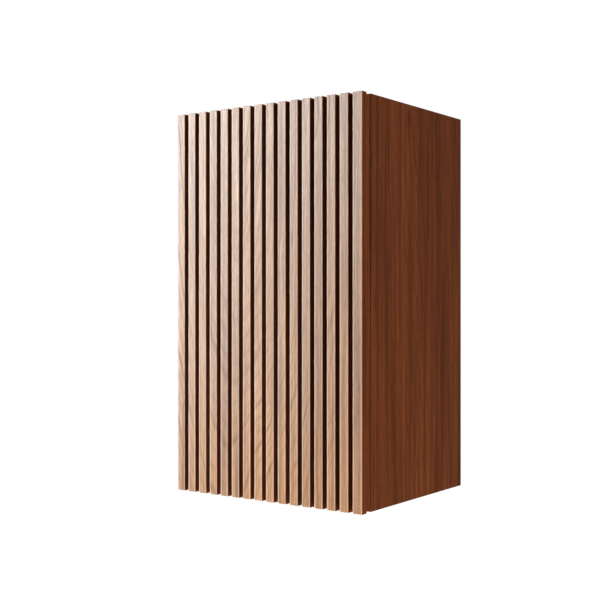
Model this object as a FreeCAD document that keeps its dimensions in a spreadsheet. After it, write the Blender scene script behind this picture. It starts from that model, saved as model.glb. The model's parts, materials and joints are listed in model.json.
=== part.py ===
import FreeCAD, Part
import os
import re
import sys

import Sketcher

# A hanging wall cabinet with one slatted door.
#
# Frame, in millimetres: X runs along the width, with 0 in the middle. Y runs from the front (negative)
# to the wall, whose face is y = 0. Z is up. The origin is the centre of the four wall fixing screws.

SIZES = {
    # the whole cabinet
    "cabinet_width": 350,
    "cabinet_depth": 300,
    "door_height": 600,
    "door_overhang": 0.5,          # how far the slats stand above and below the carcass
    "top_above_origin": 60,        # carcass top above the centre of the wall fixings
    # carcass
    "panel": 16,
    "panel_round": 0.6,
    "back_thick": 5,
    "back_recess": 18,             # clear depth behind the back panel, for the hangers' wall plates
    "groove": 6,
    "groove_play": 0.5,
    "notch_wide": 30,              # openings in the back panel for the hanger hooks
    "notch_tall": 42,
    "shelf_play": 1,
    "shelf_setback": 12,
    # door
    "slat_count": 16,
    "slat_pitch": 22.27,
    "slat_wide": 14.8,
    "slat_deep": 12,
    "slat_round": 0.8,
    "board": 10,
    "board_inset_hinge": 7,        # room for the hinge knuckles behind the first slat
    "board_inset_free": 0.4,
    "board_inset_end": 2.4,
    "door_gap": 1.5,
    "spare": 1,                    # how far a cutting tool runs past the face it opens
    "screw_play": 0.05,
    # shelf pins, in rows of holes
    "pin_radius": 2.5,
    "pin_in": 9,
    "pin_out": 8,
    "pin_hole_radius": 2.55,
    "pin_hole_depth": 10,
    "pin_collar_radius": 4,
    "pin_collar": 1.5,
    "pin_row_from_front": 37,
    "pin_row_from_back": 64,
    "hole_pitch": 32,
    # cam fittings and dowels
    "fitting_from_front": 50,
    "fitting_from_back": 96,
    "cam_from_end": 24,
    "cam_radius": 7.5,
    "cam_deep": 12.5,
    "cam_slot": 8.2,
    "cam_slot_past": 1.5,          # how far the slot runs past the cam's middle
    "cam_cross_reach": 3.5,
    "cam_cross_half": 0.7,
    "cam_cross_deep": 2,
    "cam_hole_radius": 7.55,
    "bolt_hole_radius": 4,
    "bolt_radius": 3.2,
    "bolt_neck_radius": 2.2,
    "bolt_collar_short": 1,        # the collar ends this far before the cam
    "bolt_thread": 10,
    "bolt_thread_radius": 3,
    "bolt_head_radius": 3.8,
    "bolt_head": 2.5,
    "dowel_radius": 4,
    "dowel_long": 38,
    "dowel_in_side": 11,
    "dowel_hole_radius": 4.05,
    "dowel_hole_spare": 0.5,
    # hangers and their wall plates
    "fixing_spacing_x": 236,
    "fixing_spacing_z": 32,
    "fixing_hole_radius": 2.75,
    "steel": 2,
    "thin_steel": 1.5,
    "plate_from_side": 1,          # from the side panel's inner face to the plate
    "plate_wide": 60,
    "plate_tall": 52,
    "lip_wide": 20,
    "lip_standoff": 7,
    "lip_foot": 8,                 # underside of the lip above the origin
    "hook_seat": 22,               # where the hook rests on the lip, above the origin
    "hook_bar_tall": 12,
    "hook_thick": 3,
    "hook_tooth": 11,
    "hook_tooth_thick": 3,
    "hook_play": 0.7,              # between the tooth and the back of the lip
    "hook_from_front": 6,          # from the housing's front wall to the hook
    "hook_from_side": 8,           # from the side panel's inner face to the hook
    "housing_deep": 12,
    "housing_foot": 8,
    "housing_top": 42,
    "housing_back": 26,
    "housing_front": 76,
    "adjuster_radius": 3,
    "adjuster_hole_radius": 3.1,
    "adjuster_long": 34,
    "adjuster_head_radius": 3.4,
    "adjuster_head": 3,
    "adjuster_low": 15.5,
    "adjuster_high": 37.3,
    "adjuster_slot": 1.2,
    "hanger_screw_radius": 2,
    "hanger_screw_long": 13,
    "hanger_screw_head_radius": 3.6,
    "hanger_screw_head": 2,
    "hanger_screw_from_back": 8,
    "hanger_screw_from_front": 12,
    "cover_wall": 1.5,
    "cover_roof": 0.8,
    "cover_deep": 17,
    "cover_foot": 3.5,
    "cover_top": 43.6,
    "cover_front": 84,
    "cover_back": 25,
    # butt hinges, in the gap behind the first slat
    "hinge_axis_in": 3.4,          # from the cabinet's left side to the pin
    "hinge_axis_ahead": 3.3,       # from the carcass front to the pin
    "hinge_tall": 70,
    "hinge_from_end": 90,          # from the door's end to the middle of the hinge
    "knuckle_radius": 2.9,
    "knuckle_gap": 0.2,
    "hinge_pin_radius": 1.25,
    "hinge_bore_radius": 1.3,
    "pin_tip_radius": 2.1,
    "pin_tip": 1.2,
    "leaf": 1.2,
    "leaf_clear": 3.2,             # from the pin to a leaf beside the other leaf's knuckle
    "carcass_leaf_edge": 15,       # from the cabinet's side to the leaf's free edge
    "door_leaf_edge": 20,
    "leaf_screw_pitch": 24,
    "leaf_screw_inset": 5,         # from the leaf's free edge to its screws
    "leaf_screw_radius": 1.5,
    "leaf_screw_head_radius": 2.6,
    "cross_reach": 1.3,
    "cross_half": 0.3,
    "cross_deep": 0.5,
    "carcass_leaf_screw": 14,
    "door_leaf_screw": 8,
    # magnetic catch under the top panel, and its strike plate on the door
    "catch_x": 96,
    "catch_wide": 44,
    "catch_core": 24,
    "catch_deep": 14,
    "catch_tall": 12,
    "catch_ear": 3,
    "catch_back": 1.8,             # from the carcass front to the housing
    "magnet_wide": 20,
    "magnet_deep": 9,
    "magnet_tall": 4,
    "pole": 1.5,
    "pole_gap": 0.1,               # air between the poles and the strike plate
    "catch_screw_spacing": 34,
    "catch_screw_radius": 1.5,
    "catch_screw_head_radius": 2.8,
    "catch_screw_head": 1.6,
    "catch_screw_long": 12,
    "strike_wide": 38,
    "strike_tall": 11,
    "strike_thick": 1.2,
    "strike_screw_spacing": 28,
    "strike_screw_long": 7,
    # rubber door bumpers
    "bumper_radius": 4,
    "bumper_thick": 1.4,
    "bumper_in": 11.5,             # from the cabinet's right side
    "bumper_from_end": 30,
}

# Sizes that follow from the ones above.
DERIVED = {
    "half_width": "cabinet_width / 2",
    "carcass_depth": "cabinet_depth - slat_deep - board - door_gap",
    "carcass_height": "door_height - 2 * door_overhang",
    "carcass_top": "top_above_origin",
    "carcass_foot": "top_above_origin - carcass_height",
    "door_foot": "carcass_foot - door_overhang",
    "inner_wide": "cabinet_width - 2 * panel",
    "inner_half": "inner_wide / 2",
    "inner_top": "carcass_top - panel",
    "inner_foot": "carcass_foot + panel",
    "back_front": "back_recess + back_thick",
    "middle_z": "carcass_foot + carcass_height / 2",
    "shelf_rest": "middle_z + pin_radius",
    "board_back": "carcass_depth + door_gap",
    "board_front": "board_back + board",
    "hinge_x": "-(half_width) + hinge_axis_in",
    "hinge_y": "-(carcass_depth) - hinge_axis_ahead",
    "upper_hinge_z": "door_foot + door_height - hinge_from_end",
    "lower_hinge_z": "door_foot + hinge_from_end",
    "catch_front": "-(carcass_depth) + catch_back",
    "strike_z": "inner_top - catch_tall / 2",
}

SHEET = "Sizes"
ALONG_X = FreeCAD.Rotation(FreeCAD.Vector(0, 1, 0), 90)
ALONG_Y = FreeCAD.Rotation(FreeCAD.Vector(1, 0, 0), -90)
AGAINST_Y = FreeCAD.Rotation(FreeCAD.Vector(1, 0, 0), 90)
ALONG_Z = FreeCAD.Rotation()

doc = FreeCAD.newDocument("wall_cabinet")
sheet = doc.addObject("Spreadsheet::Sheet", SHEET)
for row, (alias, size) in enumerate(SIZES.items(), start=1):
    sheet.set("A%d" % row, alias.replace("_", " "))
    sheet.set("B%d" % row, str(size))
    sheet.setAlias("B%d" % row, alias)
doc.recompute()

nodes = []          # the sub-parts, one file each
pockets = []        # features that must take material away


# ---------------------------------------------------------------- formulas

def formula(text):
    """Turn a formula in size names into one that reads the sheet's cells."""
    def cell(match):
        word = match.group(0)
        if word in DERIVED:
            return "(" + formula(DERIVED[word]) + ")"
        return SHEET + "." + word if word in SIZES else word
    return re.sub(r"[a-z][a-z0-9_]*", cell, text)


def bind(thing, formulas):
    for target, text in formulas.items():
        thing.setExpression(target, formula(text))


def span(middle, half):
    """The two ends of a length that lies evenly about a middle."""
    return "%s - (%s)" % (middle, half), "%s + (%s)" % (middle, half)


def place(thing, x, y, z, rotation=ALONG_Z):
    thing.Placement = FreeCAD.Placement(FreeCAD.Vector(), rotation)
    bind(thing, {"Placement.Base.x": x, "Placement.Base.y": y, "Placement.Base.z": z})


def node(thing):
    """List a sub-part, which is written to its own file."""
    nodes.append(thing)
    return thing


# ---------------------------------------------------------------- Part primitives

def box(label, x, y, z):
    """A box between the two formulas given for each axis."""
    thing = doc.addObject("Part::Box", label)
    place(thing, x[0], y[0], z[0])
    bind(thing, {"Length": "(%s) - (%s)" % (x[1], x[0]),
                 "Width": "(%s) - (%s)" % (y[1], y[0]),
                 "Height": "(%s) - (%s)" % (z[1], z[0])})
    return thing


def rod(label, radius, length, x, y, z, along):
    """A cylinder whose first end is centred on (x, y, z)."""
    thing = doc.addObject("Part::Cylinder", label)
    place(thing, x, y, z, along)
    bind(thing, {"Radius": radius, "Height": length})
    return thing


def cone(label, radius_1, radius_2, length, x, y, z, along):
    thing = doc.addObject("Part::Cone", label)
    place(thing, x, y, z, along)
    bind(thing, {"Radius1": radius_1, "Radius2": radius_2, "Height": length})
    return thing


def fuse(label, *pieces):
    thing = doc.addObject("Part::MultiFuse", label)
    thing.Shapes = list(pieces)
    thing.Refine = True
    return thing


def cut(label, base, *tools):
    thing = doc.addObject("Part::Cut", label)
    thing.Base = base
    thing.Tool = tools[0] if len(tools) == 1 else fuse(label + "_tools", *tools)
    thing.Refine = True
    return thing


def group(label, *pieces):
    """Identical fasteners, kept as separate solids in one sub-part."""
    thing = doc.addObject("Part::Compound", label)
    thing.Links = list(pieces)
    return thing


def mirror(label, source):
    """The same piece on the cabinet's other side."""
    thing = doc.addObject("Part::Mirroring", label)
    thing.Source = source
    thing.Base = FreeCAD.Vector(0, 0, 0)
    thing.Normal = FreeCAD.Vector(1, 0, 0)
    return thing


# ---------------------------------------------------------------- PartDesign bodies

def new_body(label, x, y, z):
    body = doc.addObject("PartDesign::Body", label)
    place(body, x, y, z)
    return body


def new_sketch(body, name, plane, offset="0"):
    """A sketch on one of the body's own origin planes, moved along the plane's normal."""
    sketch = body.newObject("Sketcher::SketchObject", body.Label + "_" + name)
    planes = [item for item in body.Origin.OriginFeatures if item.Role == plane]
    sketch.AttachmentSupport = [(planes[0], "")]
    sketch.MapMode = "FlatFace"
    bind(sketch, {"AttachmentOffset.Base.z": offset})
    return sketch


def drive(sketch, kind, *where_and_text):
    """Add a dimension whose value is a formula."""
    where, text = where_and_text[:-1], where_and_text[-1]
    index = sketch.addConstraint(Sketcher.Constraint(kind, *where, 1.0))
    sketch.setExpression("Constraints[%d]" % index, formula(text))


def add_rectangle(sketch, x, y, wide, tall):
    corners = [FreeCAD.Vector(u, v, 0) for u, v in ((1, 1), (2, 1), (2, 2), (1, 2))]
    lines = []
    for start, end in zip(corners, corners[1:] + corners[:1]):
        lines.append(sketch.addGeometry(Part.LineSegment(start, end), False))
    for line, following in zip(lines, lines[1:] + lines[:1]):
        sketch.addConstraint(Sketcher.Constraint("Coincident", line, 2, following, 1))
    for line, kind in zip(lines, ("Horizontal", "Vertical", "Horizontal", "Vertical")):
        sketch.addConstraint(Sketcher.Constraint(kind, line))
    drive(sketch, "DistanceX", -1, 1, lines[0], 1, x)
    drive(sketch, "DistanceY", -1, 1, lines[0], 1, y)
    drive(sketch, "DistanceX", lines[0], 1, lines[0], 2, wide)
    drive(sketch, "DistanceY", lines[1], 1, lines[1], 2, tall)


def add_circle(sketch, x, y, radius):
    circle = Part.Circle(FreeCAD.Vector(1, 1, 0), FreeCAD.Vector(0, 0, 1), 1)
    index = sketch.addGeometry(circle, False)
    drive(sketch, "DistanceX", -1, 1, index, 3, x)
    drive(sketch, "DistanceY", -1, 1, index, 3, y)
    drive(sketch, "Radius", index, radius)


def pad(body, sketch, length):
    feature = body.newObject("PartDesign::Pad", sketch.Label + "_pad")
    feature.Profile = sketch
    bind(feature, {"Length": length})
    return feature


def pocket(body, sketch, depth, along_normal=False):
    """Cut the sketch's outline into the body, against its normal unless told otherwise."""
    feature = body.newObject("PartDesign::Pocket", sketch.Label + "_pocket")
    feature.Profile = sketch
    feature.Reversed = along_normal
    bind(feature, {"Length": depth})
    pockets.append(feature)
    return feature


def soften(body, radius, wanted):
    """Round the edges of the body's tip that the test picks."""
    doc.recompute()
    tip = body.Tip
    names = ["Edge%d" % (i + 1) for i, edge in enumerate(tip.Shape.Edges) if wanted(edge)]
    feature = body.newObject("PartDesign::Fillet", body.Label + "_rounding")
    feature.Base = (tip, names)
    bind(feature, {"Radius": radius})
    return feature


def crossed_boxes(label, x, z, y, reach, half):
    """Two boxes that cut a cross into a face, reach and half being its arms' half length and half width."""
    arms = ((reach, half), (half, reach))
    return [box("%s_%d" % (label, turn), span(x, a), y, span(z, b)) for turn, (a, b) in enumerate(arms)]


def crosswise(edge):
    return edge.BoundBox.YLength < 1e-6 and edge.BoundBox.ZLength < 1e-6


def upright(edge):
    return edge.BoundBox.XLength < 1e-6 and edge.BoundBox.YLength < 1e-6


def at_slat_front(edge):
    """True for the four edges round the front face of a slat."""
    return edge.BoundBox.YMax < SIZES["slat_deep"] / 2


# ---------------------------------------------------------------- carcass

def side_panel(label, x, inner_x, into_panel):
    """A side panel, with its groove and the holes that are drilled in its inner face.

    inner_x is the inner face in the body's own x, and into_panel says whether a pocket has to run along
    the sketch's normal, +X, to go into the wood.
    """
    body = new_body(label, x, "-(carcass_depth)", "carcass_foot")
    outline = new_sketch(body, "outline", "YZ_Plane")
    add_rectangle(outline, "0", "0", "carcass_depth", "carcass_height")
    pad(body, outline, "panel")

    soften(body, "panel_round", upright)

    groove = new_sketch(body, "groove", "YZ_Plane", inner_x)
    add_rectangle(groove, "carcass_depth - back_front", "panel - groove",
                  "back_thick", "carcass_height - 2 * panel + 2 * groove")
    pocket(body, groove, "groove", into_panel)

    pin_holes = new_sketch(body, "pin_holes", "YZ_Plane", inner_x)
    for column in ("pin_row_from_front", "carcass_depth - pin_row_from_back"):
        for step in range(-2, 3):
            add_circle(pin_holes, column, "carcass_height / 2 + %d * hole_pitch" % step, "pin_hole_radius")
    pocket(body, pin_holes, "pin_hole_depth", into_panel)

    bolt_holes = new_sketch(body, "bolt_holes", "YZ_Plane", inner_x)
    dowel_holes = new_sketch(body, "dowel_holes", "YZ_Plane", inner_x)
    for height in ("panel / 2", "carcass_height - panel / 2"):
        for place_y, inward in (("fitting_from_front", "+"), ("carcass_depth - fitting_from_back", "-")):
            add_circle(bolt_holes, place_y, height, "bolt_thread_radius")
            add_circle(dowel_holes, "%s %s hole_pitch" % (place_y, inward), height, "dowel_hole_radius")
    pocket(body, bolt_holes, "bolt_thread", into_panel)
    pocket(body, dowel_holes, "dowel_in_side + dowel_hole_spare", into_panel)

    hanger_holes = new_sketch(body, "hanger_holes", "YZ_Plane", inner_x)
    for y in hanger_screw_places():
        add_circle(hanger_holes, "carcass_depth + (%s)" % y,
                   hanger_screw_height() + " - (carcass_foot)", "hanger_screw_radius")
    pocket(body, hanger_holes, "hanger_screw_long - thin_steel", into_panel)
    return body


def drill_for_hinges(body):
    """The holes in the left side panel's front edge for the hinges' screws."""
    holes = new_sketch(body, "hinge_holes", "XZ_Plane")
    for z in ("upper_hinge_z", "lower_hinge_z"):
        for step in (-1, 0, 1):
            add_circle(holes, "carcass_leaf_edge - leaf_screw_inset",
                       "%s - (carcass_foot) + %d * leaf_screw_pitch" % (z, step), "leaf_screw_radius")
    pocket(body, holes, "carcass_leaf_screw")
    return body


def drill_for_catch(body):
    """The holes in the top panel's underside for the catch's screws."""
    holes = new_sketch(body, "catch_holes", "XY_Plane")
    for side in ("-", "+"):
        add_circle(holes, "inner_half + catch_x %s catch_screw_spacing / 2" % side,
                   "catch_back + catch_deep / 2", "catch_screw_radius")
    pocket(body, holes, "catch_screw_long - catch_ear", True)
    return body


def flat_panel(label, z, inner_z, into_panel):
    """The top or bottom panel, between the sides, with its groove, cam holes and end holes."""
    body = new_body(label, "-(inner_half)", "-(carcass_depth)", z)
    outline = new_sketch(body, "outline", "XY_Plane")
    add_rectangle(outline, "0", "0", "inner_wide", "carcass_depth")
    pad(body, outline, "panel")

    groove = new_sketch(body, "groove", "XY_Plane", inner_z)
    add_rectangle(groove, "0", "carcass_depth - back_front", "inner_wide", "back_thick")
    pocket(body, groove, "groove", into_panel)

    cam_holes = new_sketch(body, "cam_holes", "XY_Plane", inner_z)
    for place_y in ("fitting_from_front", "carcass_depth - fitting_from_back"):
        for place_x in ("cam_from_end", "inner_wide - cam_from_end"):
            add_circle(cam_holes, place_x, place_y, "cam_hole_radius")
    pocket(body, cam_holes, "cam_deep", into_panel)

    for end, offset, along_normal in (("left", "0", True), ("right", "inner_wide", False)):
        bolt_holes = new_sketch(body, end + "_bolt_holes", "YZ_Plane", offset)
        dowel_holes = new_sketch(body, end + "_dowel_holes", "YZ_Plane", offset)
        for place_y, inward in (("fitting_from_front", "+"), ("carcass_depth - fitting_from_back", "-")):
            add_circle(bolt_holes, place_y, "panel / 2", "bolt_hole_radius")
            add_circle(dowel_holes, "%s %s hole_pitch" % (place_y, inward), "panel / 2", "dowel_hole_radius")
        pocket(body, bolt_holes, "cam_from_end", along_normal)
        pocket(body, dowel_holes, "dowel_long - dowel_in_side + dowel_hole_spare", along_normal)
    return body


def back_panel():
    """The thin back, held in grooves on all sides, with an opening for each hanger's hook."""
    reach = "groove - groove_play"
    wide = "inner_wide + 2 * (%s)" % reach
    tall = "inner_top - (inner_foot) + 2 * (%s)" % reach
    body = new_body("back_panel", "-(inner_half + %s)" % reach, "-(back_front)", "inner_foot - (%s)" % reach)
    outline = new_sketch(body, "outline", "XZ_Plane", "-(back_thick)")
    add_rectangle(outline, "0", "0", wide, tall)
    pad(body, outline, "back_thick")
    notches = new_sketch(body, "notches", "XZ_Plane", "0")
    for x in ("0", wide + " - notch_wide"):
        add_rectangle(notches, x, tall + " - notch_tall", "notch_wide", "notch_tall")
    pocket(body, notches, "back_thick")
    return body


def shelf():
    body = new_body("shelf", "-(inner_half - shelf_play)", "-(carcass_depth - shelf_setback)", "shelf_rest")
    outline = new_sketch(body, "outline", "XY_Plane")
    add_rectangle(outline, "0", "0", "inner_wide - 2 * shelf_play",
                  "carcass_depth - shelf_setback - (back_front) - shelf_play")
    pad(body, outline, "panel")
    soften(body, "panel_round", crosswise)
    return body


def shelf_pins():
    """Four steel pins with collars, in the middle holes of the four rows."""
    pins = []
    rows = (("front", "-(carcass_depth - pin_row_from_front)"), ("back", "-(pin_row_from_back)"))
    for side in ("left", "right"):
        for row_name, y in rows:
            label = "shelf_pin_%s_%s" % (side, row_name)
            if side == "left":
                shaft_x, collar_x = "-(inner_half) - pin_in", "-(inner_half)"
            else:
                shaft_x, collar_x = "inner_half - pin_out", "inner_half - pin_collar"
            shaft = rod(label + "_shaft", "pin_radius", "pin_in + pin_out", shaft_x, y, "middle_z", ALONG_X)
            ring = rod(label + "_ring", "pin_collar_radius", "pin_collar", collar_x, y, "middle_z", ALONG_X)
            over = box(label + "_over", (collar_x + " - spare", collar_x + " + pin_collar + spare"),
                       span(y, "2 * pin_collar_radius"),
                       ("shelf_rest", "shelf_rest + pin_collar_radius"))
            pins.append(cut(label, fuse(label + "_round", shaft, ring), over))
    return group("shelf_pins", *pins)


# ---------------------------------------------------------------- panel fittings

def fitting_spots():
    """The cam fittings' places: name, side sign, y of bolt and of dowel, z, inner face and its sense."""
    levels = (("top", "carcass_top - panel / 2", "inner_top", 1),
              ("bottom", "carcass_foot + panel / 2", "inner_foot", -1))
    rows = (("front", "-(carcass_depth - fitting_from_front)", "+ hole_pitch"),
            ("back", "-(fitting_from_back)", "- hole_pitch"))
    for level, z, face_z, up in levels:
        for row_name, y, inward in rows:
            for side, sign in (("left", -1), ("right", 1)):
                yield "%s_%s_%s" % (level, row_name, side), sign, y, y + " " + inward, z, face_z, up


def cam_lock(spot, sign, y, z, face_z, up):
    """The round cam, slotted from the panel's end for the bolt, with a cross cut in its face."""
    x = "%d * (inner_half - cam_from_end)" % sign
    foot = face_z if up > 0 else face_z + " - cam_deep"
    barrel = rod("cam_barrel_" + spot, "cam_radius", "cam_deep", x, y, foot, ALONG_Z)
    past, outside = "cam_slot_past", "cam_radius + spare"
    ends = (past, outside) if sign > 0 else (outside, past)
    slot = box("cam_slot_" + spot, ("%s - (%s)" % (x, ends[0]), "%s + (%s)" % (x, ends[1])),
               span(y, "cam_slot / 2"), span(z, "cam_slot / 2"))
    into, clear = ("cam_cross_deep", "spare") if up > 0 else ("spare", "cam_cross_deep")
    mouth = ("%s - %s" % (face_z, clear), "%s + %s" % (face_z, into))
    cross = [box("cam_cross_%s_%d" % (spot, turn), span(x, a), span(y, b), mouth)
             for turn, (a, b) in enumerate((("cam_cross_reach", "cam_cross_half"),
                                            ("cam_cross_half", "cam_cross_reach")))]
    return cut("cam_lock_" + spot, barrel, slot, *cross)


def cam_bolt(spot, sign, y, z):
    """The bolt: its thread is in the side panel, its collar in the panel's end, and its head in the cam."""
    collar = "cam_from_end - cam_radius - bolt_collar_short"
    lengths = (("thread", "bolt_thread_radius", "0", "bolt_thread"),
               ("collar", "bolt_radius", "-(%s)" % collar, collar),
               ("neck", "bolt_neck_radius", "-(cam_from_end)", "cam_from_end"),
               ("head", "bolt_head_radius", "-(cam_from_end)", "bolt_head"))
    rods = []
    for name, radius, start, length in lengths:
        outward = "inner_half + " + start
        x = outward if sign > 0 else "-(%s) - (%s)" % (outward, length)
        rods.append(rod("bolt_%s_%s" % (name, spot), radius, length, x, y, z, ALONG_X))
    return fuse("cam_bolt_" + spot, *rods)


def dowel(spot, sign, y, z):
    start = "inner_half + dowel_in_side - dowel_long" if sign > 0 else "-(inner_half) - dowel_in_side"
    return rod("dowel_" + spot, "dowel_radius", "dowel_long", start, y, z, ALONG_X)


# ---------------------------------------------------------------- hangers

def hanger_housing():
    """The right hanger's steel channel, screwed to the side panel, open towards the room."""
    inner = "inner_half"
    outer = box("housing_block", (inner + " - housing_deep", inner), ("-(housing_front)", "-(housing_back)"),
                ("housing_foot", "housing_top"))
    room = box("housing_room", (inner + " - housing_deep - spare", inner + " - thin_steel"),
               ("-(housing_front) + thin_steel", "-(housing_back) + spare"),
               ("housing_foot + thin_steel", "housing_top - thin_steel"))
    x = hook_middle()
    holes = [rod("housing_hole_%d" % i, "adjuster_hole_radius", "thin_steel + 2 * spare",
                 x, "-(housing_front) - spare", z, ALONG_Y)
             for i, z in enumerate(("adjuster_low", "adjuster_high"))]
    screw_holes = [rod("housing_screw_hole_%d" % i, "hanger_screw_radius", "2 * thin_steel",
                       inner + " - thin_steel", y, hanger_screw_height(), ALONG_X)
                   for i, y in enumerate(hanger_screw_places())]
    return cut("right_hanger_housing", outer, room, *(holes + screw_holes))


def hook_middle():
    return "inner_half - hook_from_side - hook_thick / 2"


def hanger_screw_places():
    return "-(housing_back) - hanger_screw_from_back", "-(housing_front) + hanger_screw_from_front"


def hanger_screw_height():
    return "(housing_foot + housing_top) / 2"


def hanger_hook():
    """The flat steel hook: a bar that leaves the housing through the back panel, with a tooth at its end."""
    x = ("inner_half - hook_from_side - hook_thick", "inner_half - hook_from_side")
    tooth_front = "-(lip_standoff) + hook_play"
    tooth_back = tooth_front + " + hook_tooth_thick"
    bar = box("hook_bar", x, ("-(housing_front) + thin_steel + hook_from_front", tooth_back),
              ("hook_seat", "hook_seat + hook_bar_tall"))
    tooth = box("hook_tooth_block", x, (tooth_front, tooth_back), ("hook_seat - hook_tooth", "hook_seat"))
    return fuse("right_hanger_hook", bar, tooth)


def adjusters():
    """Each hanger's two adjusting screws, for height and for depth, with a slot in each head."""
    screws = []
    for name, z in (("low", "adjuster_low"), ("high", "adjuster_high")):
        x = hook_middle()
        thread = rod("adjuster_thread_" + name, "adjuster_radius", "adjuster_long",
                     x, "-(housing_front)", z, ALONG_Y)
        head = rod("adjuster_head_" + name, "adjuster_head_radius", "adjuster_head", x,
                   "-(housing_front) - adjuster_head", z, ALONG_Y)
        face = "-(housing_front) - adjuster_head"
        slot = box("adjuster_slot_" + name, span(x, "adjuster_head_radius + spare"),
                   (face + " - spare", face + " + adjuster_slot"), span(z, "adjuster_slot / 2"))
        screw = cut("adjuster_" + name, fuse("adjuster_round_" + name, thread, head), slot)
        screws += [screw, mirror("adjuster_%s_left" % name, screw)]
    return group("hanger_adjusting_screws", *screws)


def hanger_screws():
    """The countersunk screws that hold the housings to the side panels."""
    screws = []
    for index, y in enumerate(hanger_screw_places()):
        z = hanger_screw_height()
        shaft = rod("hanger_screw_shaft_%d" % index, "hanger_screw_radius", "hanger_screw_long",
                    "inner_half - thin_steel", y, z, ALONG_X)
        head = cone("hanger_screw_head_%d" % index, "hanger_screw_head_radius", "hanger_screw_radius",
                    "hanger_screw_head", "inner_half - thin_steel - hanger_screw_head", y, z, ALONG_X)
        screw = fuse("hanger_screw_%d" % index, shaft, head)
        screws += [screw, mirror("hanger_screw_%d_left" % index, screw)]
    return group("hanger_fixing_screws", *screws)


def hanger_cover():
    """The plastic cap over the housing, open towards the side panel and the back."""
    shell = box("cover_block", ("inner_half - cover_deep", "inner_half"), ("-(cover_front)", "-(cover_back)"),
                ("cover_foot", "cover_top"))
    room = box("cover_room", ("inner_half - cover_deep + cover_wall", "inner_half + spare"),
               ("-(cover_front) + cover_wall", "-(cover_back) + spare"),
               ("cover_foot + cover_wall", "cover_top - cover_roof"))
    return cut("right_hanger_cover", shell, room)


def wall_plate():
    """The steel plate on the wall: two screw holes, one above the other, and a lip that takes the hook."""
    hole_x = "fixing_spacing_x / 2"
    edge = "inner_half - plate_from_side"
    plate = box("plate_sheet", (edge + " - plate_wide", edge), ("-(steel)", "0"), span("0", "plate_tall / 2"))
    lip_x = (edge + " - lip_wide", edge)
    front = "-(steel) - lip_standoff"
    foot = box("plate_lip_foot", lip_x, (front, "-(steel)"), ("lip_foot", "lip_foot + steel"))
    lip = box("plate_lip", lip_x, (front, front + " + steel"), ("lip_foot", "hook_seat"))
    holes = [rod("plate_hole_%d" % i, "fixing_hole_radius", "steel + 2 * spare",
                 hole_x, "-(steel) - spare", z, ALONG_Y)
             for i, z in enumerate(("fixing_spacing_z / 2", "-(fixing_spacing_z) / 2"))]
    return cut("right_wall_plate", fuse("plate_bent", plate, foot, lip), *holes)


# ---------------------------------------------------------------- door

def door_board():
    """The board behind the slats, with mortises for the hinge leaves in its back face."""
    body = new_body("door_board", "-(half_width) + board_inset_hinge", "-(board_front)",
                    "door_foot + board_inset_end")
    outline = new_sketch(body, "outline", "XY_Plane")
    add_rectangle(outline, "0", "0", "cabinet_width - board_inset_hinge - board_inset_free", "board")
    pad(body, outline, "door_height - 2 * board_inset_end")

    mortises = new_sketch(body, "mortises", "XZ_Plane", "-board")
    hinge_holes = new_sketch(body, "hinge_holes", "XZ_Plane", "-board")
    for z in ("upper_hinge_z", "lower_hinge_z"):
        height = "%s - (door_foot) - board_inset_end" % z
        add_rectangle(mortises, "0", height + " - hinge_tall / 2", "door_leaf_edge - board_inset_hinge",
                      "hinge_tall")
        for step in (-1, 0, 1):
            add_circle(hinge_holes, "door_leaf_edge - board_inset_hinge - leaf_screw_inset",
                       "%s + %d * leaf_screw_pitch" % (height, step), "leaf_screw_radius")
    pocket(body, mortises, "leaf", True)
    pocket(body, hinge_holes, "leaf + door_leaf_screw", True)

    strike_holes = new_sketch(body, "strike_holes", "XZ_Plane", "-board")
    for x in strike_screw_places():
        add_circle(strike_holes, "half_width - board_inset_hinge + " + x,
                   "strike_z - (door_foot) - board_inset_end", "leaf_screw_radius")
    pocket(body, strike_holes, "strike_screw_long", True)
    return body


def slat(number):
    """One upright slat. The last one is wider, and its far edge is the cabinet's right side."""
    left = "%d * slat_pitch" % (number - 1)
    wide = "slat_wide" if number < SIZES["slat_count"] else "cabinet_width - " + left
    body = new_body("slat_%02d" % number, "-(half_width) + " + left, "-(cabinet_depth)", "door_foot")
    outline = new_sketch(body, "outline", "XY_Plane")
    add_rectangle(outline, "0", "0", wide, "slat_deep")
    pad(body, outline, "door_height")
    soften(body, "slat_round", at_slat_front)
    return body


# ---------------------------------------------------------------- hinges

CARCASS_KNUCKLES = (0, 2, 4)
DOOR_KNUCKLES = (1, 3)


def screw_heights(z):
    return ["%s + %d * leaf_screw_pitch" % (z, step) for step in (-1, 0, 1)]


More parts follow.
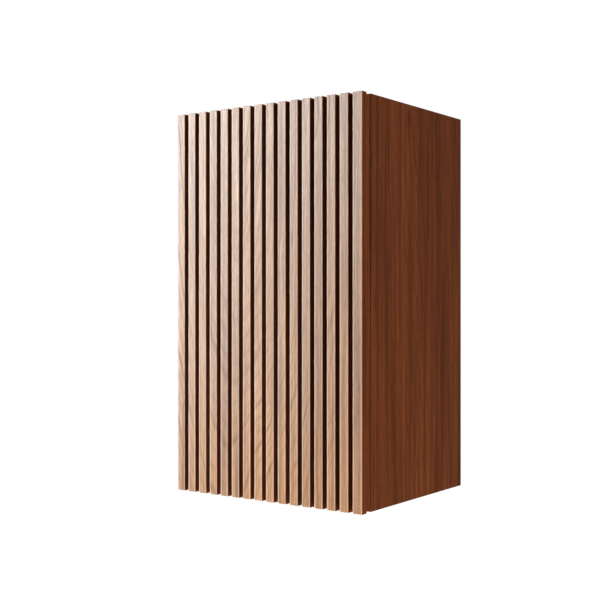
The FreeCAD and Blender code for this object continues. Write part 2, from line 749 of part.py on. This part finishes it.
def hinge_leaf(label, z, owned, y, free_edge, screw_y, into_wood):
    """A leaf: a flat plate that reaches its own knuckles, bored for the pin, with countersunk holes.

    y is the plate's front and back, and screw_y is the face that the countersinks open in.
    """
    edge_x = "-(half_width) + " + free_edge
    foot = "%s - hinge_tall / 2" % z
    plate = box(label + "_plate", ("hinge_x + leaf_clear", edge_x), y, (foot, foot + " + hinge_tall"))
    pieces = [plate]
    for i in owned:
        low = "%s + %d * hinge_tall / 5 + knuckle_gap / 2" % (foot, i)
        high = "%s + %d * hinge_tall / 5 - knuckle_gap / 2" % (foot, i + 1)
        pieces.append(box("%s_strip_%d" % (label, i), ("hinge_x", "hinge_x + leaf_clear + spare"), y,
                          (low, high)))
        pieces.append(rod("%s_knuckle_%d" % (label, i), "knuckle_radius", "hinge_tall / 5 - knuckle_gap",
                          "hinge_x", "hinge_y", low, ALONG_Z))
    bore = rod(label + "_bore", "hinge_bore_radius", "hinge_tall + 2 * spare",
               "hinge_x", "hinge_y", foot + " - spare", ALONG_Z)
    sinks = [cone("%s_sink_%d" % (label, i), "leaf_screw_head_radius + screw_play",
                  "leaf_screw_radius + screw_play", "leaf",
                  edge_x + " - leaf_screw_inset", screw_y, height, into_wood)
             for i, height in enumerate(screw_heights(z))]
    return cut(label, fuse(label + "_blank", *pieces), bore, *sinks)


def leaf_screws(label, z, free_edge, screw_y, wood_y, length, into_wood):
    screws = []
    x = "-(half_width) + %s - leaf_screw_inset" % free_edge
    for i, height in enumerate(screw_heights(z)):
        head = cone("%s_head_%d" % (label, i), "leaf_screw_head_radius", "leaf_screw_radius", "leaf",
                    x, screw_y, height, into_wood)
        shaft = rod("%s_shaft_%d" % (label, i), "leaf_screw_radius", length, x, wood_y, height, into_wood)
        cross = crossed_boxes("%s_cross_%d" % (label, i), x, height, span(screw_y, "cross_deep"),
                              "cross_reach", "cross_half")
        screws.append(cut("%s_%d" % (label, i), fuse("%s_round_%d" % (label, i), head, shaft), *cross))
    return screws


def hinge_pin(label, z):
    """The pin, with a button tip at each end."""
    foot = "%s - hinge_tall / 2" % z
    shaft = rod(label + "_shaft", "hinge_pin_radius", "hinge_tall", "hinge_x", "hinge_y", foot, ALONG_Z)
    tips = [rod("%s_tip_%d" % (label, i), "pin_tip_radius", "pin_tip", "hinge_x", "hinge_y", height, ALONG_Z)
            for i, height in enumerate((foot + " - pin_tip", foot + " + hinge_tall"))]
    return fuse(label, shaft, *tips)


# ---------------------------------------------------------------- catch and bumpers

def catch_housing():
    """The plastic body of the magnetic catch, with two ears and a mouth for the magnet and poles."""
    deep = ("catch_front", "catch_front + catch_deep")
    core = box("catch_core_block", ("catch_x - catch_core / 2", "catch_x + catch_core / 2"), deep,
               ("inner_top - catch_tall", "inner_top"))
    ears = box("catch_ears", ("catch_x - catch_wide / 2", "catch_x + catch_wide / 2"), deep,
               ("inner_top - catch_ear", "inner_top"))
    mouth = box("catch_mouth", ("catch_x - magnet_wide / 2", "catch_x + magnet_wide / 2"),
                ("catch_front - spare", "catch_front + magnet_deep"),
                ("strike_z - magnet_tall / 2 - pole", "strike_z + magnet_tall / 2 + pole"))
    holes = [rod("catch_hole_%d" % i, "catch_screw_radius + screw_play", "catch_ear + 2 * spare", x,
                 "catch_front + catch_deep / 2", "inner_top - catch_ear - spare", ALONG_Z)
             for i, x in enumerate(catch_screw_places())]
    return cut("catch_housing", fuse("catch_blank", core, ears), mouth, *holes)


def catch_screw_places():
    return "catch_x - catch_screw_spacing / 2", "catch_x + catch_screw_spacing / 2"


def catch_magnet():
    return box("catch_magnet", ("catch_x - magnet_wide / 2", "catch_x + magnet_wide / 2"),
               ("catch_front", "catch_front + magnet_deep"),
               ("strike_z - magnet_tall / 2", "strike_z + magnet_tall / 2"))


def catch_poles():
    """The two steel plates above and below the magnet, which reach almost to the strike plate."""
    x = ("catch_x - magnet_wide / 2", "catch_x + magnet_wide / 2")
    y = ("-(board_back) + strike_thick + pole_gap", "catch_front + magnet_deep")
    lower = box("lower_pole", x, y, ("strike_z - magnet_tall / 2 - pole", "strike_z - magnet_tall / 2"))
    upper = box("upper_pole", x, y, ("strike_z + magnet_tall / 2", "strike_z + magnet_tall / 2 + pole"))
    return group("catch_poles", lower, upper)


def catch_screws():
    screws = []
    for i, x in enumerate(catch_screw_places()):
        y, foot = "catch_front + catch_deep / 2", "inner_top - catch_ear"
        shaft = rod("catch_screw_shaft_%d" % i, "catch_screw_radius", "catch_screw_long", x, y, foot, ALONG_Z)
        head = rod("catch_screw_head_%d" % i, "catch_screw_head_radius", "catch_screw_head", x, y,
                   foot + " - catch_screw_head", ALONG_Z)
        screws.append(fuse("catch_screw_%d" % i, shaft, head))
    return group("catch_screws", *screws)


def strike_screw_places():
    return "catch_x - strike_screw_spacing / 2", "catch_x + strike_screw_spacing / 2"


def strike_plate():
    plate = box("strike_sheet", ("catch_x - strike_wide / 2", "catch_x + strike_wide / 2"),
                ("-(board_back)", "-(board_back) + strike_thick"),
                ("strike_z - strike_tall / 2", "strike_z + strike_tall / 2"))
    sinks = [cone("strike_sink_%d" % i, "leaf_screw_head_radius + screw_play",
                  "leaf_screw_radius + screw_play", "strike_thick",
                  x, "-(board_back) + strike_thick", "strike_z", AGAINST_Y)
             for i, x in enumerate(strike_screw_places())]
    return cut("strike_plate", plate, *sinks)


def strike_screws():
    screws = []
    for i, x in enumerate(strike_screw_places()):
        head = cone("strike_screw_head_%d" % i, "leaf_screw_head_radius", "leaf_screw_radius", "strike_thick",
                    x, "-(board_back) + strike_thick", "strike_z", AGAINST_Y)
        shaft = rod("strike_screw_shaft_%d" % i, "leaf_screw_radius", "strike_screw_long",
                    x, "-(board_back)", "strike_z", AGAINST_Y)
        screws.append(fuse("strike_screw_%d" % i, head, shaft))
    return group("strike_screws", *screws)


def door_bumpers():
    """Two rubber discs on the back of the door, which meet the right side panel's front edge."""
    heights = ("door_foot + bumper_from_end", "door_foot + door_height - bumper_from_end")
    pads = [rod("door_bumper_%d" % i, "bumper_radius", "bumper_thick", "half_width - bumper_in",
                "-(board_back)", z, ALONG_Y)
            for i, z in enumerate(heights)]
    return group("door_bumpers", *pads)


# ---------------------------------------------------------------- assembly

node(drill_for_hinges(side_panel("left_side_panel", "-(half_width)", "panel", False)))
node(side_panel("right_side_panel", "inner_half", "0", True))
node(drill_for_catch(flat_panel("top_panel", "inner_top", "0", True)))
node(flat_panel("bottom_panel", "carcass_foot", "panel", False))
node(back_panel())
node(shelf())
node(shelf_pins())

cams, bolts, dowels = [], [], []
for spot, sign, bolt_y, dowel_y, z, face_z, up in fitting_spots():
    cams.append(cam_lock(spot, sign, bolt_y, z, face_z, up))
    bolts.append(cam_bolt(spot, sign, bolt_y, z))
    dowels.append(dowel(spot, sign, dowel_y, z))
node(group("cam_locks", *cams))
node(group("cam_bolts", *bolts))
node(group("dowels", *dowels))

for name, piece in (("hanger_housing", hanger_housing()), ("hanger_hook", hanger_hook()),
                    ("hanger_cover", hanger_cover()), ("wall_plate", wall_plate())):
    node(piece)
    node(mirror("left_" + name, piece))
node(adjusters())
node(hanger_screws())

node(door_board())
for number in range(1, SIZES["slat_count"] + 1):
    node(slat(number))

carcass_screws, door_screws = [], []
for level in ("upper", "lower"):
    z = level + "_hinge_z"
    carcass_face = "-(carcass_depth) - leaf"
    node(hinge_leaf(level + "_hinge_carcass_leaf", z, CARCASS_KNUCKLES, (carcass_face, "-(carcass_depth)"),
                    "carcass_leaf_edge", carcass_face, ALONG_Y))
    node(hinge_leaf(level + "_hinge_door_leaf", z, DOOR_KNUCKLES, ("-(board_back) - leaf", "-(board_back)"),
                    "door_leaf_edge", "-(board_back)", AGAINST_Y))
    node(hinge_pin(level + "_hinge_pin", z))
    carcass_screws += leaf_screws(level + "_carcass_screw", z, "carcass_leaf_edge", carcass_face,
                                  "-(carcass_depth)", "carcass_leaf_screw", ALONG_Y)
    door_screws += leaf_screws(level + "_door_screw", z, "door_leaf_edge", "-(board_back)",
                               "-(board_back) - leaf", "door_leaf_screw", AGAINST_Y)
node(group("hinge_carcass_screws", *carcass_screws))
node(group("hinge_door_screws", *door_screws))

node(catch_housing())
node(catch_magnet())
node(catch_poles())
node(catch_screws())
node(strike_plate())
node(strike_screws())
node(door_bumpers())

# ---------------------------------------------------------------- checks and files

doc.recompute()
problems = []
for thing in doc.Objects:
    if {"Invalid", "Error"} & set(thing.State):
        problems.append("%s is %s" % (thing.Label, thing.State))
for feature in pockets:
    if feature.Shape.Volume > feature.BaseFeature.Shape.Volume - 1:
        problems.append(feature.Label + " cuts nothing")
for thing in nodes:
    if thing.Shape.isNull() or not thing.Shape.isValid() or not thing.Shape.Solids:
        problems.append(thing.Label + " has no valid solid")
if problems:
    print("\n".join(problems))
    sys.exit(1)

os.makedirs("parts", exist_ok=True)
for thing in nodes:
    thing.Shape.exportStep("parts/%s.step" % thing.Label)
print("%d sub-parts written" % len(nodes))
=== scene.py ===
import json
import math

import bpy
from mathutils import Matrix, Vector

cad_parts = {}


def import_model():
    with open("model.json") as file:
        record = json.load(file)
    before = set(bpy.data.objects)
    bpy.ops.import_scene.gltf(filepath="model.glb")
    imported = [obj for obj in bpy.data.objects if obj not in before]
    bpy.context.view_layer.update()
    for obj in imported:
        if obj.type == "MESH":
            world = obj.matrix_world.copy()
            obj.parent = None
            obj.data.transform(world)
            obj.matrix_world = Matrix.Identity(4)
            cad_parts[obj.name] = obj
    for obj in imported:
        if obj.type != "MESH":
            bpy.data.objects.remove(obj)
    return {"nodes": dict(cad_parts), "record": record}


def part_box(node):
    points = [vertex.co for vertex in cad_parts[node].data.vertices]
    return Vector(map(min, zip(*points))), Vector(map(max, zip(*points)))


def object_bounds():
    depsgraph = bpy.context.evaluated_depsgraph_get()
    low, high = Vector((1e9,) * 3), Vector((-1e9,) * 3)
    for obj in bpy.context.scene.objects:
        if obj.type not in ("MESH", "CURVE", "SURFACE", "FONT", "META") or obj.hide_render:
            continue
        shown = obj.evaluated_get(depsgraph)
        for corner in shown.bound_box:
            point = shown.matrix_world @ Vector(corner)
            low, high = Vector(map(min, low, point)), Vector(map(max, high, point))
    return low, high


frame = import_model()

CAD_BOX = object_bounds()

LOW, HIGH = Vector(CAD_BOX[0]), Vector(CAD_BOX[1])
MIDDLE_Z = (LOW.z + HIGH.z) / 2
FRONT = Vector((0, LOW.y, MIDDLE_Z))      # the middle of the door's face


# ---------------------------------------------------------------- node graphs

class Graph:
    """A node tree with short ways to add nodes and feed their inputs."""

    def __init__(self, tree):
        self.tree = tree

    def add(self, kind, inputs=None, **settings):
        node = self.tree.nodes.new("ShaderNode" + kind)
        for name, value in settings.items():
            setattr(node, name, value)
        for name, value in (inputs or {}).items():
            self.feed(node.inputs[name], value)
        return node

    def feed(self, socket, value):
        if isinstance(value, bpy.types.NodeSocket):
            self.tree.links.new(value, socket)
        else:
            socket.default_value = value

    def math(self, operation, first, second=0.0):
        return self.add("Math", {0: first, 1: second}, operation=operation).outputs[0]

    def scaled(self, value, factor, start=0.0):
        """start + factor * value."""
        return self.math("ADD", self.math("MULTIPLY", value, factor), start)

    def total(self, *parts):
        """The sum of (value, weight) parts."""
        products = [self.math("MULTIPLY", value, weight) for value, weight in parts]
        result = products[0]
        for product in products[1:]:
            result = self.math("ADD", result, product)
        return result

    def split(self, vector):
        return self.add("SeparateXYZ", {0: vector}).outputs

    def noise(self, place, cells, detail=3.0, roughness=0.5):
        """Smooth noise from 0 to 1. cells is how many fit into a metre along each axis."""
        stretched = self.add("VectorMath", {0: place, 1: cells}, operation="MULTIPLY").outputs[0]
        inputs = {"Vector": stretched, "Scale": 1.0, "Detail": detail, "Roughness": roughness}
        return self.add("TexNoise", inputs).outputs["Fac"]

    def ramp(self, value, *stops):
        """A ramp through (position, grey or colour) stops."""
        node = self.add("ValToRGB", {"Fac": value})
        elements = node.color_ramp.elements
        while len(elements) < len(stops):
            elements.new(0.5)
        for element, (position, shade) in zip(elements, stops):
            element.position = position
            element.color = (shade, shade, shade, 1) if isinstance(shade, (int, float)) else (*shade, 1)
        return node.outputs["Color"]

    def blend(self, amount, first, second, mode="MIX"):
        """first and second are colours, as tuples or sockets."""
        node = self.tree.nodes.new("ShaderNodeMix")
        node.data_type = "RGBA"
        node.blend_type = mode
        self.feed(node.inputs[0], amount)
        for socket, colour in ((node.inputs[6], first), (node.inputs[7], second)):
            self.feed(socket, (*colour, 1) if isinstance(colour, tuple) else colour)
        return node.outputs[2]

    def times(self, first, second):
        """Two colours multiplied."""
        return self.blend(1.0, first, second, "MULTIPLY")


def new_material(name, **sockets):
    """A material whose even values sit on the shader's own sockets."""
    material = bpy.data.materials.new(name)
    material.use_nodes = True
    shader = material.node_tree.nodes["Principled BSDF"]
    for socket, value in sockets.items():
        shader.inputs[socket.replace("_", " ")].default_value = value
    return material, Graph(material.node_tree), shader


def object_place(graph):
    return graph.add("TexCoord").outputs["Object"]


def bump(graph, shader, height, strength, distance):
    node = graph.add("Bump", {"Height": height, "Strength": strength, "Distance": distance})
    graph.feed(shader.inputs["Normal"], node.outputs["Normal"])


# ---------------------------------------------------------------- wood

# Cells per metre of each noise: across the grain, through the board, and along the grain.
CLOUDS = (18.0, 18.0, 1.2)
BANDS = (105.0, 105.0, 2.2)
STREAKS = (230.0, 230.0, 6.0)
FIBRES = (900.0, 900.0, 9.0)
WISPS = (330.0, 330.0, 60.0)
PORES = (700.0, 700.0, 26.0)
FLECKS = (300.0, 300.0, 30.0)
THREADS = (430.0, 430.0, 2.6)
FIGURE = (20.0, 20.0, 3.0)
WANDER = (6.0, 6.0, 2.2)
RIPPLE = (38.0, 38.0, 7.0)
TURNED_FIBRES = (700.0, 700.0, 12.0)

COARSE_RING, FINE_RING = 0.017, 0.0055    # metres from one ring to the next
PITH_WANDER = 0.07            # metres by which the pith strays sideways along the board
RING_WANDER = 0.03            # metres by which a ring's radius strays with it
RING_RIPPLE = 0.007           # and by which it ripples

# Each wood's pale, middle and dark colours.
WALNUT = ((0.185, 0.049, 0.0141), (0.142, 0.035, 0.0095), (0.082, 0.022, 0.0065))
TAN = ((0.60, 0.285, 0.103), (0.53, 0.242, 0.082), (0.31, 0.120, 0.036))
BEECH_DARK, BEECH_PALE = (0.42, 0.24, 0.11), (0.64, 0.42, 0.22)

# The tints that a slat's random number, from 0 to 1, runs through.
TINTS = (
    (0.0, (0.89, 0.90, 0.93)),
    (0.35, (0.99, 0.95, 0.94)),
    (0.7, (1.0, 1.0, 0.94)),
    (1.0, (1.09, 1.08, 1.08)),
)
TINT_SEED = 144.0             # picks which slat has which tint
STAIN_AND_SHADE = (0.30, 0.148, 0.105)  # what walnut stain and painted shade leave of the tan on the slats' sides and ends: darker than the stain alone, for the shade in the grooves between the slats
EDGE_HIGHLIGHT = (1.0, 0.82, 0.64)      # a painted highlight along the slats' front edges, where their rounding catches the light
SIDE_GLOSS, FACE_GLOSS = 0.08, 0.5        # specular level of a slat's sides, and of its face


def grain_frame(graph, along):
    """Object coordinates turned so that the grain runs along their Z."""
    place = object_place(graph)
    if along == "z":
        return place
    x, y, z = graph.split(place)
    return graph.add("CombineXYZ", {"X": z, "Y": y, "Z": x}).outputs[0]


def growth_rings(graph, place, pith, tilt, spacing, sharp):
    """Latewood lines, from 0 to 1, where a face cuts the rings round a pith that leans by tilt.

    The lean makes nested arches where the face runs close to the pith, and plain lines further away.
    sharp is the share of a ring over which its line ends.
    """
    slow = graph.noise(place, WANDER, detail=2.0)
    quick = graph.noise(place, RIPPLE, detail=2.0)
    x, y, z = graph.split(place)
    across = graph.math("ADD", graph.math("SUBTRACT", x, pith[0]), graph.math("MULTIPLY", slow, PITH_WANDER))
    away = graph.math("ADD", graph.math("SUBTRACT", y, pith[1]), graph.math("MULTIPLY", z, tilt))
    radius = graph.math("SQRT", graph.total((across, across), (away, away)))
    radius = graph.math("ADD", radius, graph.total((slow, RING_WANDER), (quick, RING_RIPPLE)))
    phase = graph.math("FRACT", graph.math("DIVIDE", radius, spacing))
    rise = (1.0 - 3 * sharp, 0.05)
    return graph.ramp(phase, (0.0, 0.3), (sharp, 0.0), rise, (1.0 - sharp, 1.0), (1.0, 0.3))


def veneer(name, along, shades, pith, tilt, roughness, ring_depth, contrast, specular):
    """Wood veneer: the material, its graph and shader, its colour, and how glossy each streak is.

    ring_depth is the strength of the growth rings, and contrast that of the fine streaks.
    """
    pale, middle, dark = shades
    material, graph, shader = new_material(name, Specular_IOR_Level=specular)
    place = grain_frame(graph, along)
    clouds = graph.noise(place, CLOUDS, detail=2.0)
    bands = graph.noise(place, BANDS, roughness=0.65)
    streaks = graph.noise(place, STREAKS, roughness=0.75)
    fibres = graph.noise(place, FIBRES, roughness=0.65)
    wisps = graph.noise(place, WISPS, roughness=0.6)
    pores = graph.ramp(graph.noise(place, PORES, detail=2.0), (0.60, 0.0), (0.66, 1.0))
    flecks = graph.ramp(graph.noise(place, FLECKS, detail=1.0), (0.66, 0.0), (0.72, 1.0))
    threads = graph.ramp(graph.noise(place, THREADS, detail=1.0), (0.60, 0.0), (0.68, 1.0))

    tone = graph.total((clouds, 0.35), (bands, 0.65))
    colour = graph.ramp(tone, (0.38, dark), (0.5, middle), (0.62, pale))
    coarse = growth_rings(graph, place, pith, tilt, COARSE_RING, sharp=0.05)
    fine = growth_rings(graph, place, pith, tilt, FINE_RING, sharp=0.13)
    figured = graph.ramp(graph.noise(place, FIGURE, detail=2.0), (0.38, 0.15), (0.62, 1.0))
    line = graph.math("MINIMUM", graph.total((coarse, 0.8), (fine, 0.6)), 1.0)
    line = graph.math("MULTIPLY", graph.math("MULTIPLY", line, figured), ring_depth)
    grain = graph.total((streaks, 0.5), (fibres, 0.25), (wisps, 0.25))
    grain = graph.ramp(grain, (0.38, 1.0 - contrast), (0.62, 1.0 + contrast))
    spots = graph.total((pores, 0.3), (flecks, 0.45))
    marks = graph.math("MAXIMUM", spots, graph.math("MULTIPLY", threads, 0.5))
    dull = graph.math("MAXIMUM", line, marks)

    colour = graph.times(graph.blend(dull, colour, dark), grain)
    bump(graph, shader, graph.math("SUBTRACT", fibres, dull), 0.08, 0.0004)
    matt = graph.total((fibres, 0.12), (dull, 0.10))
    graph.feed(shader.inputs["Roughness"], graph.math("ADD", matt, roughness - 0.08))
    gloss = graph.math("MULTIPLY", grain, graph.scaled(dull, -0.4, 1.0))
    return material, graph, shader, colour, gloss


def walnut(name, along, pith):
    """Walnut veneer, with painted shade that darkens it over the last 80 mm towards the wall."""
    material, graph, shader, colour, _ = veneer(
        name, along, WALNUT, pith, tilt=0.2, roughness=0.6, ring_depth=1.0, contrast=0.3, specular=0.12)
    decimetres = graph.math("MULTIPLY", graph.split(object_place(graph))["Y"], -10.0)
    # Painted shade: the veneer is darkened towards the wall, where the light falls off.
    painted_wall_shade = graph.ramp(decimetres, (0.0, 0.74), (0.35, 0.9), (0.8, 1.0))
    graph.feed(shader.inputs["Base Color"], graph.times(colour, painted_wall_shade))
    return material


def slat_wood():
    """Slats: bleached tan on the face that shows, and walnut on the sides and ends.

    Each slat has a tint of its own. A paler line along its two front edges is a painted highlight, where the
    rounding catches the light, and the darker sides and ends are partly walnut stain and partly painted
    shade.
    """
    first, second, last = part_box("slat_01"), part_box("slat_02"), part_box("slat_16")
    left, pitch, wide = first[0][0], second[0][0] - first[0][0], first[1][0] - first[0][0]
    extra = last[1][0] - last[0][0] - wide

    material, graph, shader, colour, gloss = veneer(
        "slat_wood", "z", TAN, pith=(-0.03, -0.22), tilt=0.16, roughness=0.44,
        ring_depth=0.85, contrast=0.28, specular=0.46)
    x = graph.split(object_place(graph))["X"]
    count = graph.math("DIVIDE", graph.math("SUBTRACT", x, left), pitch)
    number = graph.math("ADD", graph.math("FLOOR", count), TINT_SEED)
    own = graph.add("TexWhiteNoise", {"W": number}, noise_dimensions="1D").outputs["Value"]
    colour = graph.times(colour, graph.ramp(own, *TINTS))

    from_left = graph.math("MULTIPLY", graph.math("FRACT", count), pitch)
    width = graph.scaled(graph.math("GREATER_THAN", x, last[0][0]), extra, wide)
    from_right = graph.math("SUBTRACT", width, from_left)
    # Painted highlight: a paler line along each slat's two front edges, where the rounding would catch the
    # light.
    highlight_left = graph.ramp(graph.math("MULTIPLY", from_left, 100.0), (0.14, 0.45), (0.29, 0.0))
    highlight_right = graph.ramp(graph.math("MULTIPLY", from_right, 100.0), (0.12, 0.3), (0.27, 0.0))
    front = graph.blend(graph.math("MAXIMUM", highlight_left, highlight_right), colour, EDGE_HIGHLIGHT)

    normal = graph.split(graph.add("TexCoord").outputs["Normal"])
    face = graph.ramp(graph.math("MULTIPLY", normal["Y"], -1.0), (0.25, 0.0), (0.55, 1.0))
    # The sides and ends are darkened by the stain colour, which is partly walnut stain and partly painted
    # shade for the grooves.
    graph.feed(shader.inputs["Base Color"], graph.blend(face, graph.times(colour, STAIN_AND_SHADE), front))
    shine = graph.ramp(face, (0.0, SIDE_GLOSS), (1.0, FACE_GLOSS))
    graph.feed(shader.inputs["Specular IOR Level"], graph.math("MULTIPLY", shine, gloss))
    return material


def turned_beech():
    material, graph, shader = new_material("turned_beech", Roughness=0.6)
    fibres = graph.noise(grain_frame(graph, "x"), TURNED_FIBRES, detail=4.0)
    graph.feed(shader.inputs["Base Color"], graph.ramp(fibres, (0.3, BEECH_DARK), (0.7, BEECH_PALE)))
    bump(graph, shader, fibres, 0.2, 0.0003)
    return material


# ---------------------------------------------------------------- metal, plastic and rubber

def metal(name, colour, roughness, scratches, mottle, uneven):
    """Plated steel or cast zinc. scratches is how many fit into a metre.

    mottle is how far the colour varies, and uneven how far the roughness does.
    """
    material, graph, shader = new_material(name, Metallic=1.0)
    place = object_place(graph)
    fine = graph.noise(place, (scratches,) * 3, roughness=0.7)
    cloud = graph.noise(place, (120.0,) * 3)
    tint = graph.scaled(cloud, 2 * mottle, 1.0 - mottle)
    shade = graph.add("CombineXYZ", {"X": tint, "Y": tint, "Z": tint}).outputs[0]
    graph.feed(shader.inputs["Base Color"], graph.times(colour, shade))
    graph.feed(shader.inputs["Roughness"], graph.scaled(fine, 3 * uneven, roughness - 1.5 * uneven))
    bump(graph, shader, fine, 0.03, 0.0001)
    return material


def zinc_sheet():
    """Galvanised sheet, with the soft crystals that zinc leaves."""
    material, graph, shader = new_material("zinc_sheet", Metallic=1.0)
    place = object_place(graph)
    crystals = graph.add("TexVoronoi", {"Vector": place, "Scale": 260.0}, feature="F1").outputs["Color"]
    grey = graph.add("RGBToBW", {0: crystals}).outputs[0]
    colour = graph.ramp(grey, (0.0, (0.46, 0.47, 0.48)), (1.0, (0.63, 0.63, 0.63)))
    graph.feed(shader.inputs["Base Color"], colour)
    graph.feed(shader.inputs["Roughness"], graph.scaled(grey, 0.2, 0.33))
    bump(graph, shader, graph.noise(place, (900.0,) * 3), 0.08, 0.0001)
    return material


def moulded(name, colour, roughness):
    """Moulded plastic or rubber with a fine spark-eroded texture."""
    material, graph, shader = new_material(name)
    place = object_place(graph)
    texture = graph.noise(place, (1400.0,) * 3, detail=2.0)
    cloud = graph.noise(place, (60.0,) * 3, detail=2.0)
    dim = tuple(0.8 * c for c in colour)
    graph.feed(shader.inputs["Base Color"], graph.ramp(cloud, (0.3, dim), (0.7, colour)))
    graph.feed(shader.inputs["Roughness"], graph.scaled(texture, 0.2, roughness - 0.1))
    bump(graph, shader, texture, 0.25, 0.0002)
    return material


# ---------------------------------------------------------------- which node gets what

UPRIGHT = walnut("walnut_upright", "z", pith=(0.20, -0.16))
LEVEL = walnut("walnut_level", "x", pith=(-0.10, -0.10))
LEVEL_NODES = ("top_panel", "bottom_panel", "shelf")

BY_SLOT = {
    "slat_veneer": slat_wood(),
    "walnut_veneer": UPRIGHT,
    "back_board": UPRIGHT,
    "beech": turned_beech(),
    "die_cast": metal("die_cast_zinc", (0.55, 0.55, 0.57), 0.45, 500.0, mottle=0.15, uneven=0.10),
    "fastener_steel": metal("bright_zinc", (0.66, 0.66, 0.63), 0.32, 600.0, mottle=0.08, uneven=0.05),
    "hinge_steel": metal("nickel_plate", (0.60, 0.57, 0.51), 0.34, 300.0, mottle=0.08, uneven=0.04),
    "zinc_steel": zinc_sheet(),
    "magnet": moulded("ferrite", (0.045, 0.045, 0.05), 0.5),
    "brown_plastic": moulded("brown_plastic", (0.13, 0.055, 0.028), 0.45),
    "rubber": moulded("soft_rubber", (0.03, 0.03, 0.03), 0.75),
}

for part in frame["record"]["subparts"]:
    finish = LEVEL if part["node"] in LEVEL_NODES else BY_SLOT[part["material_slot"]]
    materials = frame["nodes"][part["node"]].data.materials
    materials.clear()
    materials.append(finish)


# ---------------------------------------------------------------- stage, lights and camera

FLOOR_RADIUS = 2.4
FLOOR_DROP = 1.35             # from the cabinet's middle down to the floor
FLOOR_GLOW = 0.5
AMBIENT = 0.09                # the even light from all round
REFLECTED = 0.3               # how bright the surroundings are in a reflection

DIFFUSE, GLOSSY, BOTH = ("diffuse",), ("glossy",), ("diffuse", "glossy")
SLATS = [node for node in frame["nodes"] if node.startswith("slat_")]
CARCASS = frame["record"]["behaviour"]["bodies"]["carcass"]

CAMERA_OFFSET = Vector((0.9990, -1.2863, 0.0039))     # from the middle of the door's face
CAMERA_YAW = 35.93            # degrees from looking along +Y towards looking along -X
LENS = 64.74                  # millimetres
SENSOR = 36.0                 # millimetres


def floor():
    """A pale disc under the cabinet, where the room's floor would be. It lights nothing."""
    place = (0, LOW.y, MIDDLE_Z - FLOOR_DROP)
    bpy.ops.mesh.primitive_circle_add(vertices=96, radius=FLOOR_RADIUS, fill_type="NGON", location=place)
    disc = bpy.context.object
    disc.name = "stage_floor"
    material, graph, shader = new_material(
        "pale_floor", Roughness=0.9, Emission_Color=(1, 1, 1, 1), Emission_Strength=FLOOR_GLOW)
    speckle = graph.noise(object_place(graph), (30.0,) * 3)
    graph.feed(shader.inputs["Base Color"], graph.ramp(speckle, (0.3, 0.86), (0.7, 0.9)))
    disc.visible_diffuse = False
    disc.visible_glossy = False
    disc.data.materials.append(material)


def world():
    """White behind the cabinet, and a weaker even light on it and in its reflections."""
    surroundings = bpy.data.worlds.new("studio")
    bpy.context.scene.world = surroundings
    surroundings.use_nodes = True
    graph = Graph(surroundings.node_tree)
    background = surroundings.node_tree.nodes["Background"]
    rays = graph.add("LightPath").outputs
    extra = graph.total((rays["Is Camera Ray"], 1.0 - AMBIENT), (rays["Is Glossy Ray"], REFLECTED - AMBIENT))
    graph.feed(background.inputs["Strength"], graph.math("ADD", extra, AMBIENT))
    background.inputs["Color"].default_value = (1, 1, 1, 1)


def area_light(name, place, aim, size, power, seen_by, reaches=()):
    """A rectangular light. place and aim are offsets from the middle of the door's face.

    reaches names the nodes that it lights, or is empty for all of them.
    """
    data = bpy.data.lights.new(name, "AREA")
    data.shape = "RECTANGLE"
    data.size, data.size_y = size
    data.energy = power
    lamp = bpy.data.objects.new(name, data)
    lamp.location = FRONT + Vector(place)
    lamp.rotation_euler = (Vector(aim) - Vector(place)).to_track_quat("-Z", "Y").to_euler()
    lamp.visible_diffuse = "diffuse" in seen_by
    lamp.visible_glossy = "glossy" in seen_by
    bpy.context.scene.collection.objects.link(lamp)
    if reaches:
        lit = bpy.data.collections.new(name + "_reaches")
        for node in reaches:
            lit.objects.link(frame["nodes"][node])
        lamp.light_linking.receiver_collection = lit


def camera():
    data = bpy.data.cameras.new("camera")
    data.lens = LENS
    data.sensor_width = SENSOR
    thing = bpy.data.objects.new("camera", data)
    thing.location = FRONT + CAMERA_OFFSET
    thing.rotation_euler = (math.pi / 2, 0, math.radians(CAMERA_YAW))
    bpy.context.scene.collection.objects.link(thing)
    bpy.context.scene.camera = thing


floor()
world()
area_light("high_sheen", (-2.45, -2.7, 2.0), (0, 0, 0), (1.6, 1.6), 312, GLOSSY, SLATS)
area_light("low_sheen", (-3.0, -2.0, 0.3), (0, 0, 0), (2.0, 2.0), 228, GLOSSY, SLATS)
area_light("front", (0.1, -0.62, -1.1), (0, 0, -0.2), (1.0, 0.7), 16.3, DIFFUSE)
area_light("side", (2.3, 0.1, 0.9), (0.1, 0.2, 0), (1.2, 1.2), 24.5, DIFFUSE)
area_light("low_side", (1.3, 0.1, -1.1), (0.1, 0.1, -0.3), (0.7, 0.7), 13, DIFFUSE)
area_light("top", (-0.3, 0.8, 2.0), (0, 0.2, 0.3), (0.8, 0.8), 15, BOTH)
area_light("back", (-1.0, 2.4, 0.7), (0, 0.3, 0), (1.5, 1.5), 34, BOTH)
area_light("left", (-2.3, 0.75, 0.5), (-0.1, 0.2, 0), (1.2, 1.2), 22, BOTH)
area_light("inside", (-0.3, -2.2, 0.5), (0, 0, 0), (1.2, 1.2), 45, BOTH, CARCASS)
camera()

bpy.context.scene.view_settings.view_transform = "Standard"
bpy.context.scene.view_settings.look = "None"
# With the light tree on, the lights that reach only some nodes upset the brightness of the whole picture.
bpy.context.scene.cycles.use_light_tree = False
